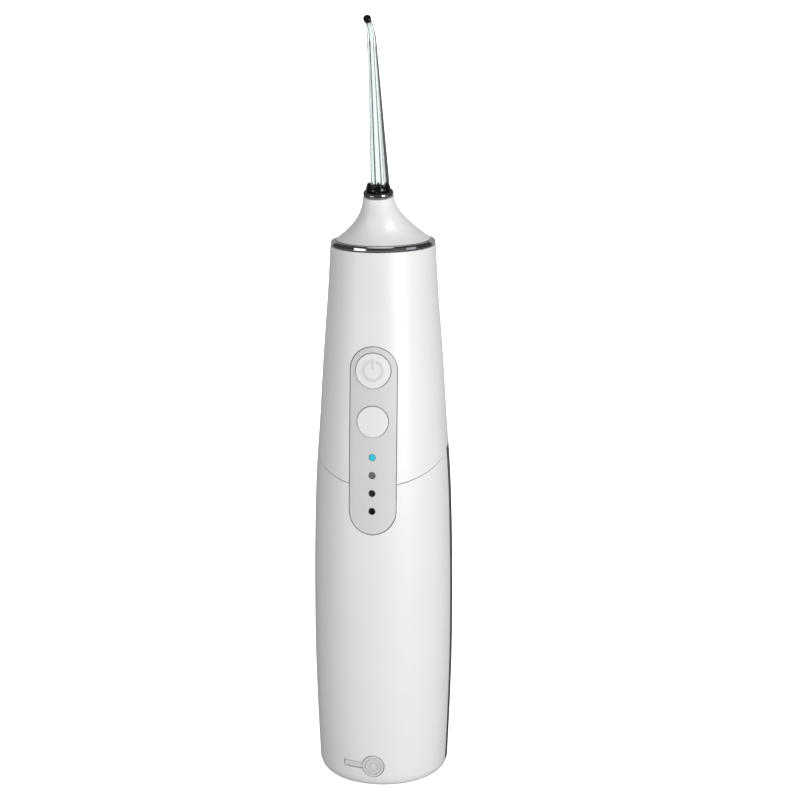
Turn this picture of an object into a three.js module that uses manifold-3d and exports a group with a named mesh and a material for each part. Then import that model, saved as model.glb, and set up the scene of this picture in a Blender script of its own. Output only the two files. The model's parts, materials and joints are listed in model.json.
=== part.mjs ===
// Cordless water flosser: a slim white handle with a control panel on its front, a smoked water tank
// that makes up the back of its lower half, and a raked neck with a turning collar and a clear jet tip.
// Millimetres, +Z up. The origin is the centre of the base, on the surface that the flosser stands on.
// The front, with the buttons, faces -Y. The tank and its filler flap face +Y.

import * as THREE from "three";
import { mergeVertices } from "three/addons/utils/BufferGeometryUtils.js";
import Module from "manifold-3d";

const wasm = await Module();
wasm.setup();

// ---------- driving dimensions ----------

const GAP = 0.3; // between neighbouring pieces
const WALL = 1.8; // handle shells
const TANK_WALL = 1.6;
const FLOOR = 2.4;
const ROUND = 48; // segments of a large round surface
const SMALL_ROUND = 16; // segments of a small one

// Height and outer radius along the handle: fullest below the middle, slimmest under the trim ring.
const BODY_KNOTS = [
  [0, 24.3], [25, 25.4], [50, 26.1], [80, 26.1], [104, 25.6], [120, 24.9],
  [135, 23.8], [160, 22.2], [185, 20.3], [206, 19.1],
];
const BASE_FILLET = 4.2;
const PROFILE_STEP = 12; // height between the profile's points

// The seam under the upper housing and the trim ring's seat are planes that dip towards the front.
const SEAM = { z: 127.7, slope: 0.472 };
const RING_SEAT = { z: 201.7, slope: 0.084 };
const RING_HEIGHT = 1.6;
const SPLIT_Y = -3.3; // the plane between the front housing and the tank

const PANEL = { halfWidth: 8.5, top: 157.8, bottom: 106.8, sunk: 0.2, depth: 2.6 };
const POWER_BUTTON = { z: 157.8, radius: 6.3 };
const MODE_BUTTON = { z: 139.4, radius: 5.6 };
const BUTTON_PROUD = 0.3;
const STEM_END_Y = -20.0; // where the button stems stop, short of the switches
const LED = { top: 126.5, pitch: 6.56, count: 4, radius: 1.15 };

const PLUG = { z: 8.7, radius: 4.0, strapWidth: 2.0, strapAngle: 26, thickness: 1.2, stemRadius: 2.4 };

const TANK_SPLIT_Z = 77; // the tank's cup ends here and its upper half begins
const FOOT_RADIUS = 10; // the tongue of the front housing that the tank stands on
const FLAP = { bottom: 91, top: 115, halfWidth: 10, hingeZ: 91.2 };
const SEAT_HOLE = { bottom: 94.5, top: 112, halfWidth: 7.4 };
const SPIGOT_Z = 112;

// The head leans forward: its group's origin is the centre of the neck's top, and its own +Z is the jet axis.
const HEAD = { forward: 9.5, z: 219.4, lean: THREE.MathUtils.degToRad(14) };
const NECK = { baseRadius: 17.4, topRadius: 5.6, flare: 1.9 };

const NOZZLE = {
  stemRadius: 2.9, stemEnd: -12, hexStart: 3.0, hexRadius: 4.2, hexTurn: THREE.MathUtils.degToRad(12),
  bendStart: 56.4, bendRadius: 4, bendAngle: THREE.MathUtils.degToRad(47), tipLength: 6.4,
  neckRadius: 1.75, tipRadius: 1.3,
};

// The drive: an upright motor, a pinion and gear beside it, and a pump that lies across above them.
const MOTOR = { y: -3, radius: 10.2, bottom: 135.8, top: 163 };
const GEAR_MODULE = 0.75;
const PINION_TEETH = 8;
const GEAR_TEETH = 24;
const GEAR_Y = MOTOR.y + (GEAR_MODULE * (PINION_TEETH + GEAR_TEETH)) / 2;
const PLATE = { bottom: 164.8, top: 166.3 };
const GEAR_Z = [167, 170];
const CRANK = { throw: 2.5, pinRadius: 0.9, top: 174.4 };
const PUMP = { z: 178, radius: 5.5, bore: 4.1, head: -15, mouth: 0.5 };
const PORT_Y = -11; // the pump's inlet and outlet nipples

const CELL = { y: -14.3, radius: 7, bottom: 38, top: 88 };
const BOARD = { y: [-17.6, -16.4], halfWidth: 8, z: [100, 168] };

// ---------- solids and geometry ----------

function toSolid(geometry) {
  const bare = geometry.clone();
  bare.deleteAttribute("normal");
  bare.deleteAttribute("uv");
  const merged = mergeVertices(bare, 1e-4);
  const position = merged.attributes.position;
  const kept = [];
  let volume = 0;
  const [a, b, c] = [new THREE.Vector3(), new THREE.Vector3(), new THREE.Vector3()];
  for (let i = 0; i < merged.index.count; i += 3) {
    const [p, q, r] = [0, 1, 2].map((k) => merged.index.getX(i + k));
    if (p === q || q === r || r === p) continue; // a face that has shrunk to a line at a pole
    kept.push(p, q, r);
    volume += a.fromBufferAttribute(position, p).dot(
      b.fromBufferAttribute(position, q).cross(c.fromBufferAttribute(position, r)));
  }
  if (volume < 0) kept.reverse(); // a profile drawn the other way round faces inwards
  return new wasm.Manifold(new wasm.Mesh({
    numProp: 3,
    vertProperties: new Float32Array(position.array),
    triVerts: new Uint32Array(kept),
  }));
}

function toGeometry(solid) {
  const mesh = solid.getMesh();
  const geometry = new THREE.BufferGeometry();
  geometry.setAttribute("position", new THREE.BufferAttribute(new Float32Array(mesh.vertProperties), 3));
  geometry.setIndex(new THREE.BufferAttribute(new Uint32Array(mesh.triVerts), 1));
  geometry.computeVertexNormals();
  return geometry;
}

const cut = (first, ...rest) => toGeometry(rest.reduce((s, g) => s.subtract(toSolid(g)), toSolid(first)));
const join = (first, ...rest) => toGeometry(rest.reduce((s, g) => s.add(toSolid(g)), toSolid(first)));
const common = (first, ...rest) => toGeometry(rest.reduce((s, g) => s.intersect(toSolid(g)), toSolid(first)));

// A profile of [radius, z] points turned about Z. It starts and ends on the axis, or closes on itself.
function turned(profile, segments = ROUND) {
  const onAxis = profile[0][0] === 0 && profile.at(-1)[0] === 0;
  const points = (onAxis ? profile : [...profile, profile[0]]).map(([r, z]) => new THREE.Vector2(r, z));
  return new THREE.LatheGeometry(points, segments).rotateX(Math.PI / 2);
}

function box(x, y, z) {
  return new THREE.BoxGeometry(x[1] - x[0], y[1] - y[0], z[1] - z[0])
    .translate((x[0] + x[1]) / 2, (y[0] + y[1]) / 2, (z[0] + z[1]) / 2);
}

function upright(radius, z, at = [0, 0], segments = SMALL_ROUND) {
  return new THREE.CylinderGeometry(radius, radius, z[1] - z[0], segments)
    .rotateX(Math.PI / 2).translate(at[0], at[1], (z[0] + z[1]) / 2);
}

function alongY(radius, y, at = [0, 0], segments = SMALL_ROUND) {
  return new THREE.CylinderGeometry(radius, radius, y[1] - y[0], segments)
    .translate(at[0], (y[0] + y[1]) / 2, at[1]);
}

function alongX(radius, x, at = [0, 0], segments = SMALL_ROUND) {
  return new THREE.CylinderGeometry(radius, radius, x[1] - x[0], segments)
    .rotateZ(Math.PI / 2).translate((x[0] + x[1]) / 2, at[0], at[1]);
}

// A closed skin over rings of equally many points. With loop, the last ring joins the first.
function loft(rings, loop = false) {
  const n = rings[0].length;
  const index = [];
  const strips = loop ? rings.length : rings.length - 1;
  for (let i = 0; i < strips; i++) {
    const [low, high] = [i * n, ((i + 1) % rings.length) * n];
    for (let j = 0; j < n; j++) {
      const k = (j + 1) % n;
      index.push(low + j, low + k, high + k, low + j, high + k, high + j);
    }
  }
  if (!loop) {
    const last = (rings.length - 1) * n;
    for (let j = 1; j < n - 1; j++) {
      index.push(0, j + 1, j);
      index.push(last, last + j, last + j + 1);
    }
  }
  const geometry = new THREE.BufferGeometry();
  geometry.setAttribute("position", new THREE.Float32BufferAttribute(rings.flat(2), 3));
  geometry.setIndex(index);
  return geometry;
}

// A hose or lead through the given points, hollow if it has a bore.
function hose(points, radius, bore, steps, sides = 5) {
  const section = new THREE.Shape().absarc(0, 0, radius, 0, 2 * Math.PI);
  if (bore) section.holes.push(new THREE.Path().absarc(0, 0, bore, 0, 2 * Math.PI, true));
  return new THREE.ExtrudeGeometry(section, {
    extrudePath: new THREE.CatmullRomCurve3(points.map((p) => new THREE.Vector3(...p))),
    curveSegments: sides,
    steps,
    bevelEnabled: false,
  });
}

// ---------- the handle's outer form ----------

const bodySamples = new THREE.SplineCurve(BODY_KNOTS.map(([z, r]) => new THREE.Vector2(z, r))).getPoints(180);

function bodyRadius(z) {
  const k = Math.max(1, bodySamples.findIndex((p) => p.x >= z));
  const [low, high] = [bodySamples[k - 1], bodySamples[k]];
  return low.y + ((high.y - low.y) * (z - low.x)) / (high.x - low.x);
}

function heights(from, to) {
  const count = Math.max(1, Math.round((to - from) / PROFILE_STEP));
  return Array.from({ length: count + 1 }, (_, i) => from + ((to - from) * i) / count);
}

// The solid inside the handle's outer surface, offset by a distance, between two heights.
function bodyCore(from, to, offset = 0) {
  const side = heights(from, to).map((z) => [bodyRadius(z) + offset, z]);
  return turned([[0, from], ...side, [0, to]]);
}

// The same from the ground up, with the rounded edge that the handle stands on.
function standingCore(to) {
  const edge = [0, 30, 60].map((deg) => {
    const t = THREE.MathUtils.degToRad(deg);
    return [bodyRadius(0) - BASE_FILLET * (1 - Math.sin(t)), BASE_FILLET * (1 - Math.cos(t))];
  });
  const side = heights(BASE_FILLET, to).map((z) => [bodyRadius(z), z]);
  return turned([[0, 0], ...edge, ...side, [0, to]]);
}

// Everything above or below a plane z = plane.z + slope * y.
function halfSpace(plane, shift, above) {
  const size = 160;
  return new THREE.BoxGeometry(size, size, size)
    .translate(0, 0, above ? size / 2 : -size / 2)
    .rotateX(Math.atan(plane.slope))
    .translate(0, 0, plane.z + shift);
}

const FAR = 60; // beyond the handle in every direction

// The control panel's outline, a slot with round ends, as a bar through the front of the handle.
function panelBar(growth) {
  const r = PANEL.halfWidth + growth;
  const outline = new THREE.Shape();
  outline.absarc(0, PANEL.top, r, 0, Math.PI);
  outline.absarc(0, PANEL.bottom, r, Math.PI, 2 * Math.PI);
  return new THREE.ExtrudeGeometry(outline, { depth: FAR, curveSegments: 14, bevelEnabled: false })
    .rotateX(Math.PI / 2);
}

// ---------- handle shells ----------

const PLATE_SCREWS = [[17.9, 2.5], [-17.9, 2.5]];

function upperHousing() {
  const [low, high] = [104, 205.6];
  const shell = cut(bodyCore(low, high), bodyCore(low - 1, high + 0.2, -WALL));
  const tankSide = box([-FAR, FAR], [SPLIT_Y - WALL, FAR], [0, 220]);
  const bulkhead = common(
    bodyCore(low, 160), halfSpace(SEAM, WALL, false), tankSide);
  const bosses = PLATE_SCREWS.map((at) => cut(
    upright(2.6, [156, PLATE.bottom - GAP], at, 12), upright(1.2, [158, 170], at, 8)));
  return cut(
    join(shell, bulkhead, ...bosses),
    halfSpace(SEAM, 0, false),
    halfSpace(RING_SEAT, -GAP, true),
    panelBar(GAP),
  );
}

function frontHousing() {
  const top = 130;
  const shell = common(
    cut(standingCore(top), bodyCore(FLOOR, top + 1, -WALL)),
    box([-FAR, FAR], [-FAR, SPLIT_Y], [-1, 200]));
  const divider = common(standingCore(top), box([-FAR, FAR], [SPLIT_Y - WALL, SPLIT_Y], [-1, 200]));
  const foot = upright(FOOT_RADIUS, [0, 2.2], [0, 0], 32);
  return cut(
    join(shell, divider, foot),
    halfSpace(SEAM, -GAP, true),
    panelBar(GAP),
    plugShape(GAP, true),
    alongY(PLUG.stemRadius + 0.5, [-FAR, -20], [0, PLUG.z]),
    alongY(2.4, [-10, 0], [0, SPIGOT_Z]),
  );
}

// ---------- charging plug ----------

// The disc, strap and rounded strap root, lying in the handle's surface. Grown, it is their recess.
function plugShape(growth, recess) {
  const [low, high] = [PLUG.z - PLUG.radius - 2, PLUG.z + PLUG.radius + 2];
  const depth = PLUG.thickness + (recess ? growth : 0);
  const skin = cut(
    turned([[0, low], [bodyRadius(low) + (recess ? 2 : 0), low], [bodyRadius(high) + (recess ? 2 : 0), high], [0, high]], 96),
    turned([[0, low - 1], [bodyRadius(low) - depth, low - 1], [bodyRadius(high) - depth, high + 1], [0, high + 1]], 96));
  const disc = alongY(PLUG.radius + growth, [-FAR, 0], [0, PLUG.z], 32);
  const half = PLUG.strapWidth / 2 + growth;
  const root = plugRoot();
  const strap = box([root.x, 0], [-FAR, 0], [PLUG.z - half, PLUG.z + half]);
  const flat = common(skin, join(disc, strap));
  const knuckle = upright(PLUG.thickness / 2 + growth, [PLUG.z - half, PLUG.z + half], [root.x, root.y]);
  return join(flat, knuckle);
}

// The axis that the strap bends about, half its thickness under the surface.
function plugRoot() {
  const angle = THREE.MathUtils.degToRad(PLUG.strapAngle);
  const r = bodyRadius(PLUG.z) - PLUG.thickness / 2;
  return { x: -r * Math.sin(angle), y: -r * Math.cos(angle) };
}

function chargePlug() {
  const face = -(bodyRadius(PLUG.z) - PLUG.thickness / 2);
  const stem = cut(
    alongY(PLUG.stemRadius, [face, -20.8], [0, PLUG.z]),
    alongY(1.2, [-22.4, -20], [0, PLUG.z], 10));
  return join(plugShape(0, false), stem);
}

function chargingJack() {
  const block = cut(
    alongY(3.9, [-22.2, -12], [0, PLUG.z], 20),
    alongY(2.9, [-FAR, -14], [0, PLUG.z]));
  return join(block, alongY(0.65, [-20.2, -13], [0, PLUG.z], 10));
}

// ---------- control panel ----------

function controlPanel() {
  const [low, high] = [PANEL.bottom - 10, PANEL.top + 10];
  const skin = cut(bodyCore(low, high, -PANEL.sunk), bodyCore(low - 1, high + 1, -PANEL.depth));
  const lensHoles = ledHeights().map((z) => alongY(LED.radius + GAP, [-FAR, 0], [0, z], 12));
  return cut(
    common(skin, panelBar(0)),
    alongY(POWER_BUTTON.radius + GAP, [-FAR, 0], [0, POWER_BUTTON.z], 28),
    alongY(MODE_BUTTON.radius + GAP, [-FAR, 0], [0, MODE_BUTTON.z], 28),
    ...lensHoles);
}

function button({ z, radius }) {
  const span = [z - radius - 1, z + radius + 1];
  const cap = common(
    alongY(radius, [-FAR, 0], [0, z], 28),
    cut(bodyCore(...span, BUTTON_PROUD), bodyCore(span[0] - 1, span[1] + 1, -1.6)));
  return join(cap, alongY(2, [1.2 - bodyRadius(z), STEM_END_Y], [0, z], 12));
}

const ledHeights = () => Array.from({ length: LED.count }, (_, i) => LED.top - i * LED.pitch);

function ledLens(z) {
  return alongY(LED.radius, [-bodyRadius(z), BOARD.y[0] - GAP], [0, z], 12);
}

function tactSwitch(z) {
  const face = BOARD.y[0] - GAP;
  return join(
    box([-2.25, 2.25], [face - 1, face], [z - 2.25, z + 2.25]),
    alongY(1, [STEM_END_Y + 0.7, face - 0.5], [0, z], 10));
}

// ---------- tank ----------

// The room behind the front housing, drawn in from its outer surface and its faces by an inset.
function tankCore(inset, floor) {
  const outer = inset ? bodyCore(floor, 150, -inset) : standingCore(150);
  return cut(
    common(outer, box([-FAR, FAR], [SPLIT_Y + GAP + inset, FAR], [floor, 160])),
    halfSpace(SEAM, -GAP - inset * 1.1, true));
}

const hingeY = () => bodyRadius(FLAP.hingeZ) - 1.2;
const bar = (halfWidth, bottom, top) => box([-halfWidth, halfWidth], [8, FAR], [bottom, top]);

function tankCup() {
  return cut(
    tankCore(0, 0),
    tankCore(TANK_WALL, 4.2),
    upright(FOOT_RADIUS + 0.4, [-1, 2.6], [0, 0], 32),
    box([-FOOT_RADIUS - 0.4, FOOT_RADIUS + 0.4], [-FAR, 0], [-1, 2.6]),
    box([-FAR, FAR], [-FAR, FAR], [TANK_SPLIT_Z - GAP / 2, 200]));
}

function tankUpperHalf() {
  const span = [FLAP.bottom - 2, FLAP.top + 2];
  const seat = common(
    cut(bodyCore(...span, -TANK_WALL + 0.1), bodyCore(span[0] - 1, span[1] + 1, -3.4)),
    bar(FLAP.halfWidth + 2, ...span));
  const ears = [[2.5, 4.7], [-4.7, -2.5]].map((x) => alongX(1.2, x, [hingeY(), FLAP.hingeZ], 12));
  const shell = cut(
    tankCore(0, 0),
    tankCore(TANK_WALL, 4.2),
    box([-FAR, FAR], [-FAR, FAR], [-1, TANK_SPLIT_Z + GAP / 2]));
  const opening = common(
    cut(bodyCore(80, 130, 3), bodyCore(79, 131, -TANK_WALL + 0.05)),
    bar(FLAP.halfWidth + 0.4, FLAP.bottom - 0.4, FLAP.top + 0.4));
  return cut(
    join(cut(join(shell, seat), opening), ...ears),
    bar(SEAT_HOLE.halfWidth, SEAT_HOLE.bottom, SEAT_HOLE.top),
    alongX(1.6, [-2.5, 2.5], [hingeY(), FLAP.hingeZ], 12),
    alongX(0.75, [-6, 6], [hingeY(), FLAP.hingeZ], 10),
    alongY(2.5, [-4, 0], [0, SPIGOT_Z]),
    alongY(3.6, [-4, -1.8], [0, SPIGOT_Z]));
}

function fillerFlap() {
  const span = [FLAP.bottom - 3, FLAP.top];
  const plate = common(
    cut(bodyCore(...span), bodyCore(span[0] - 1, span[1] + 1, -1.2)),
    bar(FLAP.halfWidth, FLAP.bottom + 1.8, FLAP.top));
  const rim = common(
    cut(bodyCore(...span, -0.6), bodyCore(span[0] - 1, span[1] + 1, -3.2)),
    cut(bar(SEAT_HOLE.halfWidth - 0.5, SEAT_HOLE.bottom + 0.5, SEAT_HOLE.top - 0.9),
      bar(SEAT_HOLE.halfWidth - 2, SEAT_HOLE.bottom + 2, SEAT_HOLE.top - 2.4)));
  const knuckle = join(
    alongX(1.2, [-2.2, 2.2], [hingeY(), FLAP.hingeZ], 12),
    box([-2.2, 2.2], [hingeY(), hingeY() + 1.1], [FLAP.hingeZ, FLAP.bottom + 2.4]));
  return cut(join(plate, rim, knuckle), alongX(0.75, [-6, 6], [hingeY(), FLAP.hingeZ], 10));
}

// A half-moon band inside both halves of the tank, across the joint between them.
function tankSeal() {
  const inset = TANK_WALL + GAP;
  const band = box([-FAR, FAR], [-FAR, FAR], [TANK_SPLIT_Z - 2.5, TANK_SPLIT_Z + 2.5]);
  return cut(common(tankCore(inset, 4.2), band), tankCore(inset + 1.1, 4.2));
}

function suctionElbow() {
  return cut(
    box([-4.2, 4.2], [-1.1, 5.6], [107.5, 116.5]),
    alongY(2.4, [-4, 4.2], [0, SPIGOT_Z]),
    upright(1.2, [100, SPIGOT_Z], [0, 2.2], 10));
}

const ring = (major, minor, z = 0) => new THREE.TorusGeometry(major, minor, 6, 18).translate(0, 0, z);

// ---------- neck and head ----------

// Circles that shrink, slide forward and lean as they climb from the trim ring to the collar.
function neckRing(u, inset, segments = 40) {
  const ease = u * u * (3 - 2 * u);
  const base = RING_SEAT.z + RING_HEIGHT + GAP;
  const centre = new THREE.Vector3(0, -HEAD.forward * ease, base + (HEAD.z - base) * u);
  const lean = THREE.MathUtils.lerp(Math.atan(RING_SEAT.slope), HEAD.lean, u);
  const radius = NECK.topRadius + (NECK.baseRadius - NECK.topRadius) * (1 - u) ** NECK.flare - inset;
  return Array.from({ length: segments }, (_, i) => {
    const t = (2 * Math.PI * i) / segments;
    return new THREE.Vector3(radius * Math.cos(t), radius * Math.sin(t), 0)
      .applyAxisAngle(new THREE.Vector3(1, 0, 0), lean).add(centre).toArray();
  });
}

function neckCover() {
  const steps = [0, 0.12, 0.26, 0.42, 0.6, 0.8, 1];
  const outside = steps.map((u) => neckRing(u, 0));
  const inside = steps.map((u) => neckRing(u, THREE.MathUtils.lerp(2, 1.2, u))).reverse();
  return loft([...outside, ...inside], true);
}

function trimRing() {
  return turned([[16, 0], [19.1, 0], [19.1, 0.9], [18.1, RING_HEIGHT], [16, RING_HEIGHT]]);
}

// Everything from here to the tip is drawn on the jet axis.
function nozzleSocket() {
  return turned([[1, -15], [4.1, -15], [4.1, -0.1], [3.3, -0.1], [3.3, -13], [1, -13]], 20);
}

function swivelCollar() {
  return turned([[3.4, 0.3], [4.9, 0.3], [5.4, 0.8], [5.4, 1.5], [4.9, 2.1], [3.4, 2.1]], 28);
}

function nozzleRing() {
  const cone = turned([[3.2, 2.4], [4.35, 2.4], [4.35, 3.3], [3.65, 4.5], [3.2, 4.5]], 28);
  const { hexStart, hexRadius, hexTurn } = NOZZLE;
  const hexagon = new THREE.CylinderGeometry(hexRadius + 0.35, hexRadius + 0.35, 6, 6)
    .rotateX(Math.PI / 2).rotateZ(hexTurn + Math.PI / 6).translate(0, 0, hexStart + 3 - GAP);
  return cut(cone, hexagon);
}

// A section of the jet tip: hexagonal where facet is 1 and round where it is 0.
function nozzleSection(radius, facet, segments) {
  return Array.from({ length: segments }, (_, i) => {
    const t = (2 * Math.PI * i) / segments;
    const fromCorner = (t % (Math.PI / 3)) - Math.PI / 6;
    const hexagon = Math.cos(Math.PI / 6) / Math.cos(fromCorner);
    const r = radius * THREE.MathUtils.lerp(1, hexagon, facet);
    const turn = t + NOZZLE.hexTurn;
    return new THREE.Vector3(r * Math.cos(turn), r * Math.sin(turn), 0);
  });
}

// Where the jet axis is at a distance past the bend's start, and how far it has turned forward there.
function bendPoint(past) {
  const { bendStart, bendRadius, bendAngle } = NOZZLE;
  const angle = Math.min(bendAngle, Math.max(0, past / bendRadius));
  const straight = Math.max(0, past - bendAngle * bendRadius);
  return {
    angle,
    centre: new THREE.Vector3(
      0,
      -bendRadius * (1 - Math.cos(angle)) - straight * Math.sin(angle),
      bendStart + Math.min(past, 0) + bendRadius * Math.sin(angle) + straight * Math.cos(angle)),
  };
}

function nozzleRingAt(past, radius, facet) {
  const { centre, angle } = bendPoint(past);
  return nozzleSection(radius, facet, 24).map((p) =>
    p.applyAxisAngle(new THREE.Vector3(1, 0, 0), angle).add(centre).toArray());
}

const TIP_END = NOZZLE.bendAngle * NOZZLE.bendRadius + NOZZLE.tipLength;

function nozzle() {
  const { stemRadius, stemEnd, hexStart, hexRadius, bendStart, neckRadius, tipRadius } = NOZZLE;
  const at = (z, radius, facet) => nozzleRingAt(z - bendStart, radius, facet);
  const outside = [
    at(stemEnd, stemRadius, 0), at(-7.1, stemRadius, 0), at(-7, 2.15, 0), at(-5.4, 2.15, 0),
    at(-5.3, stemRadius, 0), at(hexStart, stemRadius, 0), at(hexStart + 0.1, hexRadius, 1),
    at(30, 2.9, 0.8), at(bendStart - 2, neckRadius, 0.3),
    nozzleRingAt(1.2, 1.45, 0), nozzleRingAt(2.4, tipRadius, 0), nozzleRingAt(TIP_END, tipRadius, 0),
  ];
  const bore = [
    nozzleRingAt(TIP_END, 0.45, 0), nozzleRingAt(2.4, 0.5, 0), nozzleRingAt(1.2, 0.55, 0),
    at(bendStart - 2, 0.7, 0), at(hexStart, 1.5, 0), at(stemEnd, 1.6, 0),
  ];
  return loft([...outside, ...bore], true);
}

// A dark cap with the jet hole, on the end of the tip.
function orificeCap() {
  const ringAt = (past, radius) => nozzleRingAt(past, radius, 0);
  const start = TIP_END + 0.1;
  return loft([
    ringAt(start, tipCap.radius), ringAt(start + 0.8, tipCap.radius), ringAt(start + 1.3, tipCap.radius - 0.5),
    ringAt(start + 1.3, tipCap.hole), ringAt(start, tipCap.hole),
  ], true);
}
const tipCap = { radius: 1.35, hole: 0.4 };

// ---------- drive ----------

// A spur gear with straight-sided teeth, slim enough to run free at its centre distance.
function gearOutline(teeth, turn) {
  const pitch = (GEAR_MODULE * teeth) / 2;
  const [root, tip] = [pitch - 1.2 * GEAR_MODULE, pitch + 0.85 * GEAR_MODULE];
  const outline = new THREE.Shape();
  const halves = [[root, -0.3], [tip, -0.11], [tip, 0.11], [root, 0.3]];
  for (let i = 0; i < teeth; i++) {
    for (const [r, share] of halves) {
      const t = turn + (2 * Math.PI * (i + share)) / teeth;
      outline[i === 0 && share === -0.3 ? "moveTo" : "lineTo"](r * Math.cos(t), r * Math.sin(t));
    }
  }
  return outline;
}

function gear(teeth, turn, bore, z, at) {
  const outline = gearOutline(teeth, turn);
  outline.holes.push(new THREE.Path().absarc(0, 0, bore, 0, 2 * Math.PI, true));
  return new THREE.ExtrudeGeometry(outline, { depth: z[1] - z[0], curveSegments: 12, bevelEnabled: false })
    .translate(at[0], at[1], z[0]);
}

const motorAt = [0, MOTOR.y];
const gearAt = [0, GEAR_Y];
const MOTOR_SCREWS = [[7, MOTOR.y], [-7, MOTOR.y]];
const SHAFT_RADIUS = 1;
const AXLE_RADIUS = 1.2;

function motorCase() {
  return cut(
    turned([[1.4, 135.8], [10.2, 135.8], [10.2, 163], [3, 163], [3, 164.2], [1.4, 164.2]], 32)
      .translate(0, MOTOR.y, 0),
    ...MOTOR_SCREWS.map((at) => upright(1.1, [160.5, 170], at, 8)));
}

function gearPlate() {
  const hoseAt = [-14.5, -8.4];
  return cut(
    upright(bodyRadius(PLATE.top) - WALL - 0.4, [PLATE.bottom, PLATE.top], [0, 0], 40),
    box([-FAR, FAR], [-FAR, -15.4], [0, 200]),
    upright(3.4, [160, 170], motorAt),
    upright(AXLE_RADIUS + GAP, [160, 170], gearAt),
    upright(2.7, [160, 170], hoseAt, 12),
    ...[...MOTOR_SCREWS, ...PLATE_SCREWS].map((at) => upright(1.2, [160, 170], at, 8)));
}

function screwAt([x, y], length) {
  const seat = PLATE.top + GAP;
  return turned([[0, seat - length], [0.8, seat - length], [0.8, seat], [1.7, seat], [1.7, seat + 1], [0, seat + 1.2]], 10)
    .translate(x, y, 0);
}

function crankPin() {
  return upright(CRANK.pinRadius, [GEAR_Z[1] + GAP, CRANK.top], [CRANK.throw, GEAR_Y], 12);
}

function pumpCylinder() {
  const centre = [0, PUMP.z];
  const legs = [6, -8.6].map((x) => box([x, x + 2.6], [-14, -9.5], [PLATE.top + GAP, PUMP.z]));
  const bridge = box([-8.6, 8.6], [-14, -9.5], [PUMP.z - 3, PUMP.z]);
  const inlet = alongX(1.7, [-9.4, 0], [PORT_Y, PUMP.z], 12);
  const outlet = upright(1.7, [PUMP.z, PUMP.z + 8.6], [0, PORT_Y], 12);
  return cut(
    join(alongY(PUMP.radius, [PUMP.head, PUMP.mouth], centre, 24), ...legs, bridge, inlet, outlet),
    alongY(PUMP.bore, [PUMP.head + 2, 4], centre, 24),
    alongX(0.9, [-12, 0], [PORT_Y, PUMP.z], 8),
    upright(0.9, [PUMP.z, PUMP.z + 12], [0, PORT_Y], 8),
    alongX(1.3, [-7.4, -5.2], [PORT_Y, PUMP.z], 10),
    upright(1.3, [PUMP.z + 5, PUMP.z + 7.2], [0, PORT_Y], 10));
}

function yoke() {
  const z = [CRANK.top + GAP, PUMP.z + 1.6];
  return cut(
    join(
      box([-1.8, 1.8], [-4.6, GEAR_Y], [PUMP.z - 1.6, PUMP.z + 1.6]),
      box([-5.6, 5.6], [GEAR_Y - 2.6, GEAR_Y + 2.6], z)),
    box([-4.2, 4.2], [GEAR_Y - 1.2, GEAR_Y + 1.2], [0, 200]));
}

function piston() {
  return turned(
    [[0, -10], [3.8, -10], [3.8, -8.7], [3, -8.7], [3, -7.3], [3.8, -7.3], [3.8, -5], [0, -5]], 20)
    .rotateX(-Math.PI / 2).translate(0, 0, PUMP.z);
}

// ---------- wiring and hoses ----------

const HOSE_ROUTE = [
  [0, -9.6, SPIGOT_Z], [0, -11.6, 112.2], [-1.6, -13.4, 114.8], [-6.5, -13, 122], [-13.2, -10.4, 134],
  [-14.5, -8.4, 150],
  [-14.5, -8.4, 167], [-14, -9.6, 175], [-12.2, -10.8, 177.7], [-9.9, PORT_Y, PUMP.z],
];
const OUTLET_ROUTE = [[0, PORT_Y, PUMP.z + 9], [0, -10.4, 193], [0, -7.8, 198.5], [0, -6, 203.2]];
const LEADS = {
  battery_lead: [[3, -12, 94.4], [5, -12.5, 99], [5, -14, 108], [5, -15.8, 112]],
  jack_lead: [[0, -11.4, 8.7], [4, -9.5, 12], [9.5, -10, 30], [10.4, -10, 60], [10, -11, 88], [7, -14, 103], [6, -15.8, 107]],
  motor_lead: [[3, -5, 133.1], [5.5, -9, 130], [5, -13, 127], [4, -15.8, 126]],
};

// ---------- the assembly ----------

const FINISH = {
  whiteShell: { color: 0xf2f2f1, roughness: 0.32, metalness: 0 },
  greyPanel: { color: 0xcfd0d0, roughness: 0.45, metalness: 0 },
  silverCap: { color: 0xe9e9ea, roughness: 0.35, metalness: 0.1 },
  chrome: { color: 0xd8dadc, roughness: 0.08, metalness: 1 },
  smoked: { color: 0x5c6062, roughness: 0.12, metalness: 0, transparent: true, opacity: 0.6 },
  clear: { color: 0xe8f3f2, roughness: 0.04, metalness: 0, transparent: true, opacity: 0.35 },
  black: { color: 0x111213, roughness: 0.3, metalness: 0 },
  greyRubber: { color: 0xc9caca, roughness: 0.6, metalness: 0 },
  sealRubber: { color: 0x2b2d2f, roughness: 0.7, metalness: 0 },
  litLens: { color: 0x2fc8dc, roughness: 0.2, metalness: 0, emissive: 0x2fc8dc },
  darkLens: { color: 0x1b1c1d, roughness: 0.15, metalness: 0 },
  steel: { color: 0xb9bcc0, roughness: 0.3, metalness: 1 },
  board: { color: 0x1d5b3a, roughness: 0.5, metalness: 0 },
  innerPlastic: { color: 0xdcdcd8, roughness: 0.5, metalness: 0 },
  cellWrap: { color: 0x2f6fb0, roughness: 0.4, metalness: 0 },
  hose: { color: 0xdfe6e6, roughness: 0.3, metalness: 0, transparent: true, opacity: 0.7 },
  wire: { color: 0xb32222, roughness: 0.5, metalness: 0 },
};
const materials = Object.fromEntries(
  Object.entries(FINISH).map(([name, values]) => [name, new THREE.MeshStandardMaterial({ name, ...values })]));

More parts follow.
